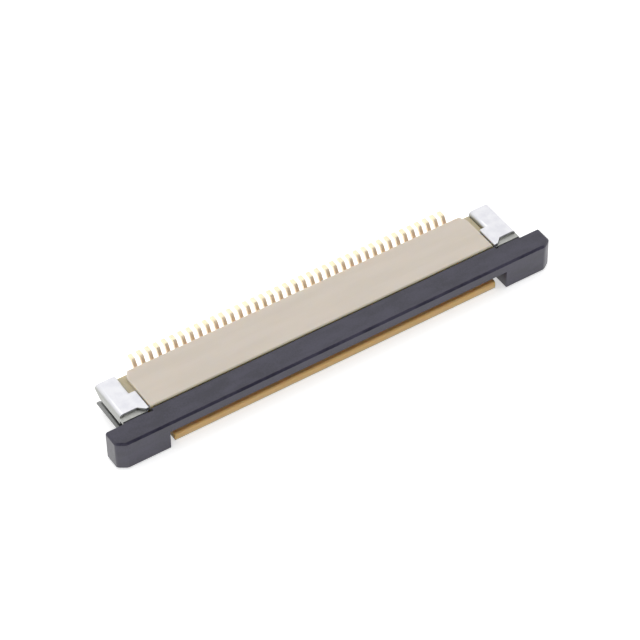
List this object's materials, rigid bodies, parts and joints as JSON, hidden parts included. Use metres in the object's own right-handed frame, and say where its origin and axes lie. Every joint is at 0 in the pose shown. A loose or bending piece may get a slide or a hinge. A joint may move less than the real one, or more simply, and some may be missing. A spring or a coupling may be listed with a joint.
{
  "type": "fpc connector",
  "caption": "Low-profile surface-mount connector for a flat printed cable, with a sliding lock bar, solder-side up, hold-down pads at the ends and a row of bent solder feet.",
  "frame": {"origin": "centre of the footprint, on the plane of the cover face that the part lies on", "axes": "X runs along the row of contacts; +Y runs from the cable mouth to the solder feet; +Z points out of the solder side, so a circuit board lies on top of the part as modelled"},
  "size_m": [0.0272, 0.0054, 0.0019],
  "materials": {
    "housing_resin": "smooth satin moulded resin, warm pale beige, more amber where it is thin and shaded",
    "slider_resin": "satin moulded resin, dark grey with a faint blue cast",
    "tin_plate": "matte tin plating over stamped sheet, with duller sheared edges",
    "contact_plating": "thin gold flash over stamped copper alloy, pale at the feet"
  },
  "bodies": {
    "housing_body": {"housing": "housing_resin", "hold_down_left": "tin_plate", "hold_down_right": "tin_plate", "contact_01": "contact_plating", "contact_02": "contact_plating", "contact_03": "contact_plating", "contact_04": "contact_plating", "contact_05": "contact_plating", "contact_06": "contact_plating", "contact_07": "contact_plating", "contact_08": "contact_plating", "contact_09": "contact_plating", "contact_10": "contact_plating", "contact_11": "contact_plating", "contact_12": "contact_plating", "contact_13": "contact_plating", "contact_14": "contact_plating", "contact_15": "contact_plating", "contact_16": "contact_plating", "contact_17": "contact_plating", "contact_18": "contact_plating", "contact_19": "contact_plating", "contact_20": "contact_plating", "contact_21": "contact_plating", "contact_22": "contact_plating", "contact_23": "contact_plating", "contact_24": "contact_plating", "contact_25": "contact_plating", "contact_26": "contact_plating", "contact_27": "contact_plating", "contact_28": "contact_plating", "contact_29": "contact_plating", "contact_30": "contact_plating", "contact_31": "contact_plating", "contact_32": "contact_plating", "contact_33": "contact_plating", "contact_34": "contact_plating", "contact_35": "contact_plating", "contact_36": "contact_plating", "contact_37": "contact_plating", "contact_38": "contact_plating", "contact_39": "contact_plating", "contact_40": "contact_plating"},
    "slider_body": {"slider": "slider_resin"}
  },
  "joints": [
    {"name": "slider_slide", "type": "slide", "parent": "housing_body", "child": "slider_body", "axis": [0, -1, 0], "range_m": [0, 0.0012]}
  ]
}
